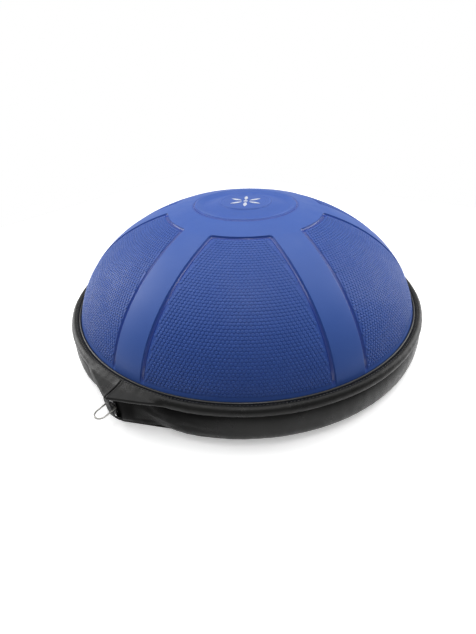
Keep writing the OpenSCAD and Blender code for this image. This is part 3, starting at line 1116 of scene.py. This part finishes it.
    def side_band(self) -> bpy.types.Object:
        """The side band: full over the foam, drawn in under the flaps and out to the lower tips."""
        steps = 22
        heights = 3.2 + (self.seam_at[1] - 3.4) * (1 - np.cos(np.linspace(0, math.pi, steps))) / 2
        outer = np.stack([self.side_profile(heights), heights], axis=1)
        slope = np.gradient(outer, axis=0)
        normal = np.stack([slope[:, 1], -slope[:, 0]], axis=1)
        normal /= np.linalg.norm(normal, axis=1, keepdims=True)
        inner = (outer - normal * np.minimum(self.cover_t, 1.4))[::-1]
        profile = np.concatenate([outer, inner])
        angles = self.angles(self.lower.spread)

        def place(row: np.ndarray, column: np.ndarray) -> np.ndarray:
            """Places of the band's vertices."""
            angle = angles[column]
            away = self.away(angle)
            r, z = profile[row, 0], profile[row, 1]
            is_outer = row < steps
            foot = self.lower.reach(away) - 0.8 * bump(away * self.lower.tip, 0, 2.0)
            stand = self.lower.share(away)
            free = foot - (foot - self.belly_r) * eased(12, 33, z)
            free = free - (self.belly_r - self.neck_r) * eased(30, 46.5, z)
            free = free + 3.0 * stand * bump(z, 20, 10)
            pinch = eased(24.0, 1.5, away * self.seam_r) * eased(4, 11, z) * eased(46.5, 42, z)
            free = free + np.maximum(self.strap_side_r - free, 0.0) * pinch
            thin = np.where(is_outer, 0.0, r - self.side_profile(z))
            blend = eased(0.0, 0.42, stand)
            r = r + (free + thin - r) * blend
            free_part = eased(3.5, 12, z) * eased(46.8, 42, z)
            waves = 0.3 * ripple(angle, z, 8, 10, 40) + 0.1 * ripple(angle, z, 9, 60, 150)
            crease = self.tension(angle, z) * (0.35 + 0.65 * eased(0.9, 0.2, away))
            gather = 0.15 * np.sin(angle * 118 + 2 * np.sin(angle * 7)) * eased(14, 4, z) * eased(2, 4, z)
            seam = self.seam_fold(angle, self.seam_r) * 0.8 * eased(0.1, 0.5, stand)
            r = r + (waves + crease) * free_part + gather + seam
            return polar(r, angle, z)

        def paint(row: np.ndarray, column: np.ndarray) -> np.ndarray:
            """Painted shade on the band's vertices where they lie in the hollow under a flap."""
            return 0.9 * eased(0.62, 0.22, self.away(angles[column])) * eased(2.0, 9.0, profile[row, 1])

        return spun_band("rim_side_band", profile, len(angles), place, angle=60, paint=paint)

    def bottom_flange(self) -> bpy.types.Object:
        """The flange under the board, with its two lower tips."""
        flat = self.flange_t
        out_r = self.lower.radius
        profile = [(self.flange_in, 0.3), (self.flange_in, flat - 0.3), (self.flange_in + 0.4, flat)]
        profile += [(self.flange_in + 12, flat), (out_r - 12, flat), (out_r - 1.2, flat)]
        profile += [(out_r - 0.3, flat - 0.5), (out_r, flat / 2), (out_r - 0.4, 0.5), (out_r - 1.4, 0.0)]
        profile += [(out_r - 12, 0.0), (self.flange_in + 12, 0.0), (self.flange_in + 0.5, 0.0)]
        rows = np.array(profile)
        angles = self.angles(self.lower.spread)

        def place(row: np.ndarray, column: np.ndarray) -> np.ndarray:
            """Places of the flange's vertices."""
            angle = angles[column]
            r, z = rows[row, 0], rows[row, 1]
            grow = self.lower.reach(self.away(angle)) - 0.8 * bump(self.away(angle) * self.lower.tip, 0, 2.0) - out_r
            share = eased(self.flange_in + 20, out_r - 2, r)
            return polar(r + grow * share, angle, z)

        return spun_band("rim_bottom_flange", rows, len(angles), place)

    def foam_core(self) -> bpy.types.Object:
        """The foam ring under the cover, a little slimmer than the cover's inner face."""
        rows = [(284.4, 3.8), (284.4, 21.6), (284.6, 23.6), (288.0, 28.0), (289.9, 32.0), (289.6, 40.0)]
        rows += [(288.6, 50.0), (288.4, 55.5), (291.5, 57.2), (294.5, 57.9), (296.8, 56.8), (298.2, 54.0)]
        rows += [(297.6, 51.0), (295.6, 49.0), (294.6, 46.5), (295.0, 43.5), (295.8, 38.0), (296.6, 30.0)]
        rows += [(296.4, 22.0), (294.8, 13.0), (290.6, 6.2), (287.0, 3.8)]
        profile = np.array(rows)
        columns = 180

        def place(row: np.ndarray, column: np.ndarray) -> np.ndarray:
            """Places of the foam's vertices, uneven as cut foam is."""
            angle = column * FULL_TURN / columns
            r, z = profile[row, 0], profile[row, 1]
            cut = np.where(r > 290, -0.25 + 0.25 * ripple(angle, z, 12, 12, 60), 0.0)
            return polar(r + cut, angle, z)

        return spun_band("rim_foam_core", profile, columns, place)

    def flap_inserts(self) -> list[bpy.types.Object]:
        """The stiff sheets inside the two flaps, which slope as the flaps do."""
        spread = 0.5 * self.upper.spread
        turns = np.linspace(-spread, spread, 41)
        inner = self.upper.radius + 2.0
        edge = [(inner * math.sin(a), -inner * math.cos(a), 0.0) for a in turns]
        obj = point_line("flap_insert_front", edge)
        for _ in range(4):
            bpy.ops.mesh.extrude_region_move(TRANSFORM_OT_translate={"value": (0, 0, MM)})
        bpy.ops.object.mode_set(mode="OBJECT")
        points = get_points(obj)
        share = np.rint(points[:, 2]) / 4
        angle = np.arctan2(points[:, 0], -points[:, 1])
        radius = inner + (self.upper.reach(np.abs(angle)) - 5.5 - inner) * share
        set_points(obj, polar(radius, angle, 53.9 - 2.2 * (radius - 300) / 22))
        apply_modifier(obj, "SOLIDIFY", thickness=1.4 * MM, offset=0.0)
        front = settle(obj, 30)
        return [front, turned_copy(front, "flap_insert_rear", math.pi)]

    def piping(self) -> bpy.types.Object:
        """The piping cord sewn into the hem."""
        centre_r = self.piping_at[0]
        turns = np.linspace(0, FULL_TURN, 14, endpoint=False)
        ring = np.stack([np.cos(turns), np.sin(turns)], axis=1) * self.piping_r
        rows = ring + self.piping_at
        columns = 620

        def place(row: np.ndarray, column: np.ndarray) -> np.ndarray:
            """Places of the piping's vertices, slightly pinched at each stitch."""
            angle = column * FULL_TURN / columns
            pinch = 1 - 0.035 - 0.035 * np.sin(angle * round(FULL_TURN * centre_r / self.stitch_pitch / 2))
            place = self.piping_at + ring[row] * pinch[:, None]
            return polar(place[:, 0], angle, place[:, 1])

        return spun_band("hem_piping_cord", rows, columns, place)

    def stitch(self) -> bpy.types.Object:
        """One lockstitch: a short thread whose ends dive into the sheet."""
        half = self.stitch_len / 2
        drop_selection()
        bpy.ops.mesh.primitive_cylinder_add(
            vertices=6, radius=self.thread_r * MM, depth=self.stitch_len * MM, rotation=(0, math.pi / 2, 0)
        )
        obj = bpy.context.object
        bpy.ops.object.transform_apply(location=False, rotation=True, scale=False)
        bpy.ops.object.mode_set(mode="EDIT")
        bpy.ops.mesh.select_all(action="SELECT")
        for share in (-0.62, 0.0, 0.62):
            bpy.ops.mesh.select_all(action="SELECT")
            bpy.ops.mesh.bisect(plane_co=(share * half * MM, 0, 0), plane_no=(1, 0, 0))
        bpy.ops.object.mode_set(mode="OBJECT")
        points = get_points(obj)
        lean = (np.abs(points[:, 0]) / half) ** 2
        points[:, 2] += 0.25 - 0.85 * lean
        points[:, 1] *= 1 - 0.25 * lean
        set_points(obj, points)
        return obj

    def hem_stitches(self) -> bpy.types.Object:
        """The line of thread that holds the piping in the hem."""
        count = round(FULL_TURN * self.stitch_r / self.stitch_pitch)
        lean = 0.10
        z = self.roll_at[1] + self.roll_r - 0.05
        frames = []
        for i in range(count):
            a = (i + 0.5) * FULL_TURN / count
            spot = (self.stitch_r * math.sin(a), -self.stitch_r * math.cos(a), z)
            along = (math.cos(a + lean), math.sin(a + lean), 0.0)
            frames.append((spot, along, (-along[1], along[0], 0.0), (0, 0, 1)))
        obj = copies("hem_stitches", self.stitch(), np.array(frames))
        take(obj)
        bpy.ops.object.shade_smooth()
        return obj

    def build(self) -> None:
        """Builds and dresses the cover's pieces."""
        leather = self.leather.make()
        top = dress(self.top_band(), leather)
        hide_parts("cover_top")
        side = dress(self.side_band(), leather)
        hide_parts("cover_side")
        bottom = dress(self.bottom_flange(), leather)
        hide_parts("cover_bottom")
        edge = MouldedSheet("piping_vinyl", "#1C1C1B", "#2C2B2A", 0.34, 0.8, 0.04).make()
        cord = dress(self.piping(), edge)
        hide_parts("hem_piping")
        thread = MouldedSheet("polyester_thread", "#141414", "#2A2A2A", 0.6, 0.35, 0.05, 0.3).make()
        dress(self.hem_stitches(), thread)
        foam = MouldedSheet("pu_foam", "#C9C2A6", "#D8D2B8", 0.85, 1.1, 0.5).make()
        core = dress(self.foam_core(), foam)
        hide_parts("rim_foam")
        sheet = MouldedSheet("polypropylene_sheet", "#D9D8D3", "#E6E5E0", 0.4, 1.4, 0.05).make()
        for insert in self.flap_inserts():
            dress(insert, sheet)
            if insert.name.endswith("front"):
                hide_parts("corner_stiffeners")


# ----------------------------------------------------------------------------- straps and rings


@dataclass
class CornerStrap:
    """The short upright tape at a corner that holds a wire ring in a sewn loop.

    Sizes are in millimetres and follow the frame; the tape lies in the YZ plane of the front corner.
    """

    width: float = 10.0
    tape_t: float = 1.7
    bar: tuple[float, float] = (-314.5, 36.0)
    wire_r: float = 1.1
    ring_w: float = 16.0
    ring_l: float = 24.0
    ring_bend: float = 2.2
    tape: WovenTape = field(default_factory=WovenTape)

    def ribbon(self, name: str, path: list[tuple[float, float]], thick: float) -> bpy.types.Object:
        """A flat tape that follows a path, with rounded selvedges.

        Args:
            name: name of the new object.
            path: (y, z) points of its middle line.
            thick: thickness of the tape.

        Returns:
            The finished tape.
        """
        half = self.width / 2
        obj = point_line(name, [(-half, y, z) for y, z in path])
        for step in (0.9, half - 0.9, half - 0.9, 0.9):
            bpy.ops.mesh.extrude_region_move(TRANSFORM_OT_translate={"value": (step * MM, 0, 0)})
        bpy.ops.mesh.select_all(action="SELECT")
        bpy.ops.mesh.normals_make_consistent(inside=False)
        bpy.ops.object.mode_set(mode="OBJECT")
        apply_modifier(obj, "SOLIDIFY", thickness=thick * MM, offset=0.0)
        apply_modifier(obj, "BEVEL", width=0.35 * MM, segments=2, limit_method="ANGLE")
        return settle(obj, 45)

    def outer_path(self) -> list[tuple[float, float]]:
        """Middle line of the outer layer, from under the flap to the tail under the board."""
        bend = [(-319.3, 50.8), (-319.5, 47), (-319.4, 43), (-319.1, 39.5), (-318.8, 36), (-318.4, 32)]
        bend += [(-317.9, 27), (-317.1, 21), (-315.0, 15), (-312.2, 10), (-309.4, 6.6), (-306.0, 5.0)]
        bend += [(-302, 4.7)]
        return bend + [(-y, 4.6) for y in (290, 278, 265, 251)]

    def loop_path(self) -> list[tuple[float, float]]:
        """Middle line of the inner layer, round the ring's bar and back."""
        y, z = self.bar
        reach = self.wire_r + 0.2 + 0.6
        turn = np.radians(np.linspace(105, -105, 11))
        start = [(-317.2, z + 8.5), (-316.6, z + 5.5)]
        end = [(-315.8, z - 5.5), (-316.0, z - 9.0)]
        return start + [(y + reach * math.cos(a), z + reach * math.sin(a)) for a in turn] + end

    def bartack(self) -> bpy.types.Object:
        """The dense cross stitching that closes the loop above and below the bar."""
        drop_selection()
        bpy.ops.mesh.primitive_cylinder_add(
            vertices=6, radius=0.3 * MM, depth=(self.width - 3.4) * MM, rotation=(0, math.pi / 2, 0)
        )
        obj = bpy.context.object
        bpy.ops.object.transform_apply(location=False, rotation=True, scale=False)
        bpy.ops.object.mode_set(mode="EDIT")
        bpy.ops.mesh.select_all(action="SELECT")
        bpy.ops.mesh.bisect(plane_co=(0, 0, 0), plane_no=(1, 0, 0))
        bpy.ops.object.mode_set(mode="OBJECT")
        frames = []
        for y, base in ((-320.15, 44.6), (-319.0, 28.6)):
            for i in range(4):
                tilt = 0.10 * (-1) ** i
                frames.append(((0, y, base - i * 0.85), (1, 0, tilt), (0, 1, 0), (-tilt, 0, 1)))
        tack = copies("strap_bartack_front", obj, np.array(frames, float))
        take(tack)
        bpy.ops.object.shade_smooth()
        return tack

    def ring(self) -> bpy.types.Object:
        """The D-shaped ring: drawn wire bent round, its ends butted behind the tape."""
        y, z = self.bar
        half, bend = self.ring_w / 2, self.ring_bend
        leg = self.ring_l - half
        corner = np.radians(np.linspace(0, 90, 7))
        bow = np.radians(np.linspace(0, 180, 25))
        right = [(half - bend + bend * math.sin(a), -bend + bend * math.cos(a)) for a in corner]
        arc = [(half * math.cos(a), -leg - half * math.sin(a)) for a in bow]
        left = [(-x, v) for x, v in right[::-1]]
        line = right + arc + left
        curve = bpy.data.curves.new("strap_ring_wire", "CURVE")
        curve.dimensions = "3D"
        curve.bevel_depth = self.wire_r * MM
        curve.bevel_resolution = 6
        spline = curve.splines.new("POLY")
        spline.points.add(len(line) - 1)
        for point, (px, py) in zip(spline.points, line):
            point.co = (px * MM, (y + py) * MM, z * MM, 1)
        spline.use_cyclic_u = True
        obj = bpy.data.objects.new("strap_ring_wire_front", curve)
        bpy.context.scene.collection.objects.link(obj)
        take(obj)
        bpy.ops.object.convert(target="MESH")
        return settle(bpy.context.object, 50)

    def build(self) -> None:
        """Builds both straps and rings and dresses them."""
        tape = self.tape.make()
        thread = MouldedSheet("bartack_thread", "#7C7C7A", "#9A9A97", 0.6, 0.35, 0.05, 0.3).make()
        wire = PlatedSteel("nickel_plated_wire", "#A9A8A4", "#6F6E6B", 0.24).make()
        outer = self.ribbon("strap_tape_front", self.outer_path(), self.tape_t)
        loop = self.ribbon("strap_loop_front", self.loop_path(), 1.2)
        pieces = [(outer, tape), (loop, tape), (self.bartack(), thread)]
        ring = self.ring()
        for tab in (Tab.REAR, Tab.FRONT):
            for piece, material in pieces:
                rear = piece.name.replace("front", tab.word)
                part = piece if tab is Tab.FRONT else turned_copy(piece, rear, tab.turn)
                dress(part, material)
                if piece is outer:
                    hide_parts(f"corner_strap_{tab.word}")
            part = ring if tab is Tab.FRONT else turned_copy(ring, "strap_ring_wire_rear", tab.turn)
            dress(part, wire, tab.ring_body)
            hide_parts(f"strap_ring_{tab.word}")


# ----------------------------------------------------------------------------- frame parts


@dataclass(frozen=True)
class FrameParts:
    """Finishes of the CAD nodes that are shown as they are."""

    def finishes(self) -> dict[str, bpy.types.Material]:
        """Materials by CAD node."""
        steel = PlatedSteel("zinc_plated_steel", "#B9BBBD", "#85888B", 0.3).make()
        return {
            "dome_floor": MouldedSheet("welded_pvc_floor", "#3B55A0", "#4A62AA", 0.4, 1.2, 0.05).make(),
            "valve_body": MouldedSheet("moulded_valve_seat", "#6E7073", "#85878A", 0.42, 0.9, 0.04).make(),
            "valve_plug": MouldedSheet("moulded_plug", "#D8D6D0", "#EAE8E3", 0.36, 0.9, 0.04).make(),
            "bladder_pad": MouldedSheet("eva_foam_pad", "#4B4C4E", "#5D5E60", 0.75, 0.8, 0.2).make(),
            "platform_mat": MouldedSheet("moulded_rubber_mat", "#17181A", "#242527", 0.62, 0.7, 0.14).make(),
            "base_board": BirchPly().make(),
            "staples": steel,
            "strap_screws": steel,
            "hub_badge": SilverInk().make(),
        }

    def build(self) -> None:
        """Gives each shown CAD node its material."""
        for name, material in self.finishes().items():
            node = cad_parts[name]
            node.data.materials.clear()
            node.data.materials.append(material)
            log.info("node %s: %s", name, material.name)


# ----------------------------------------------------------------------------- studio


@dataclass(frozen=True)
class SoftBox:
    """One area lamp.

    Place and target are in metres; strength is in watts.
    """

    name: str
    place: tuple[float, float, float]
    target: tuple[float, float, float]
    size: tuple[float, float]
    watts: float

    def build(self) -> None:
        """Adds the lamp, aimed at its target."""
        light = bpy.data.lights.new(self.name, "AREA")
        light.shape = "RECTANGLE"
        light.size, light.size_y = self.size
        light.energy = self.watts
        lamp = bpy.data.objects.new(self.name, light)
        bpy.context.scene.collection.objects.link(lamp)
        lamp.location = self.place
        aim = Vector(self.target) - Vector(self.place)
        lamp.rotation_euler = aim.to_track_quat("-Z", "Y").to_euler()


@dataclass(frozen=True)
class Studio:
    """Camera, lamps, world and floor."""

    focal: float = 20.76
    shift: tuple[float, float] = (-0.0268, -0.0584)
    eye: tuple[float, float, float] = (0.32835, -0.49476, 0.3906)
    turn: float = math.radians(33.57)
    yaw: float = 0.0228
    pitch: float = 0.5012
    roll: float = 0.0148
    ambient: float = 0.12
    floor_half: float = 0.9
    floor_glow: float = 0.42

    def camera(self) -> None:
        """Adds the camera and makes it the scene's."""
        data = bpy.data.cameras.new("camera")
        data.sensor_width = 36.0
        data.lens = self.focal
        data.shift_x, data.shift_y = self.shift
        data.clip_start = 0.01
        cy, sy, cp, sp = math.cos(self.yaw), math.sin(self.yaw), math.cos(self.pitch), math.sin(self.pitch)
        ahead = Vector((sy * cp, cy * cp, -sp))
        right = Vector((cy, -sy, 0.0))
        above = right.cross(ahead)
        cr, sr = math.cos(self.roll), math.sin(self.roll)
        level, upright = right * cr - above * sr, right * sr + above * cr
        turn = Matrix.Rotation(self.turn, 3, "Z")
        axes = Matrix([turn @ level, turn @ upright, turn @ -ahead]).transposed()
        obj = bpy.data.objects.new("camera", data)
        bpy.context.scene.collection.objects.link(obj)
        obj.matrix_world = Matrix.Translation(self.eye) @ axes.to_4x4()
        bpy.context.scene.camera = obj

    def seen_share(
        self, graph_nodes: bpy.types.Nodes, links: bpy.types.NodeLinks, in_gloss: float
    ) -> bpy.types.NodeSocket:
        """Output that is 1 for camera and transmission rays and dimmer in reflections.

        Args:
            graph_nodes: nodes of the tree to build in.
            links: links of the same tree.
            in_gloss: the output for glossy rays.

        Returns:
            The output socket.
        """
        path = graph_nodes.new("ShaderNodeLightPath")
        first = graph_nodes.new("ShaderNodeMath")
        first.operation = "MAXIMUM"
        links.new(path.outputs["Is Camera Ray"], first.inputs[0])
        glossy = graph_nodes.new("ShaderNodeMath")
        glossy.operation = "MULTIPLY"
        glossy.inputs[1].default_value = in_gloss
        links.new(path.outputs["Is Glossy Ray"], glossy.inputs[0])
        links.new(glossy.outputs[0], first.inputs[1])
        both = graph_nodes.new("ShaderNodeMath")
        both.operation = "MAXIMUM"
        links.new(first.outputs[0], both.inputs[0])
        links.new(path.outputs["Is Transmission Ray"], both.inputs[1])
        return both.outputs[0]

    def world(self) -> None:
        """White to the camera, dim to the object."""
        world = bpy.data.worlds.new("studio_world")
        bpy.context.scene.world = world
        world.use_nodes = True
        nodes, links = world.node_tree.nodes, world.node_tree.links
        back = nodes["Background"]
        level = nodes.new("ShaderNodeMapRange")
        links.new(self.seen_share(nodes, links, 0.5), level.inputs["Value"])
        level.inputs["To Min"].default_value = self.ambient
        level.inputs["To Max"].default_value = 1.0
        back.inputs["Color"].default_value = (1, 1, 1, 1)
        links.new(level.outputs[0], back.inputs["Strength"])

    def floor(self) -> None:
        """A plain pale floor that keeps the object's shadow."""
        drop_selection()
        bpy.ops.mesh.primitive_plane_add(size=2 * self.floor_half, location=(0, 0, -0.0002))
        obj = bpy.context.object
        obj.name = "studio_floor"
        material = bpy.data.materials.new("pale_floor")
        material.use_nodes = True
        nodes, links = material.node_tree.nodes, material.node_tree.links
        base = nodes["Principled BSDF"]
        base.inputs["Roughness"].default_value = 0.9
        base.inputs["Specular IOR Level"].default_value = 0.0
        seen = self.seen_share(nodes, links, 1.0)
        shade = nodes.new("ShaderNodeMapRange")
        links.new(seen, shade.inputs["Value"])
        shade.inputs["To Min"].default_value = 0.3
        shade.inputs["To Max"].default_value = 1.0
        links.new(shade.outputs[0], base.inputs["Base Color"])
        glow = nodes.new("ShaderNodeMath")
        glow.operation = "MULTIPLY"
        glow.inputs[1].default_value = self.floor_glow
        links.new(seen, glow.inputs[0])
        base.inputs["Emission Color"].default_value = (1, 1, 1, 1)
        links.new(glow.outputs[0], base.inputs["Emission Strength"])
        obj.data.materials.append(material)

    def lamps(self) -> list[SoftBox]:
        """The soft boxes, placed about the view direction."""
        turn = Matrix.Rotation(self.turn, 3, "Z")

        def seen_from(x: float, y: float, z: float) -> tuple[float, float, float]:
            """Place from right, away and up of the camera's ground axes."""
            return tuple(turn @ Vector((x, y, z)))

        mid = (0.0, 0.0, 0.1)
        return [
            SoftBox("overhead_softbox", seen_from(0.0, 0.2, 1.5), mid, (2.0, 1.5), 18.0),
            SoftBox("front_softbox", seen_from(0.0, -0.7, 1.55), mid, (0.16, 0.6), 4.5),
            SoftBox("left_softbox", seen_from(-1.4, 0.35, 0.7), mid, (0.9, 1.3), 17.0),
            SoftBox("right_softbox", seen_from(1.4, 0.35, 0.7), mid, (0.9, 1.3), 15.0),
        ]

    def build(self) -> None:
        """Sets the whole studio up."""
        bpy.context.scene.view_settings.view_transform = "Standard"
        self.camera()
        self.world()
        self.floor()
        for lamp in self.lamps():
            lamp.build()


def main() -> None:
    """Builds every sub-assembly."""
    Studio().build()
    AirDome().build()
    RimCover().build()
    CornerStrap().build()
    FrameParts().build()


if __name__ == "__main__":
    main()
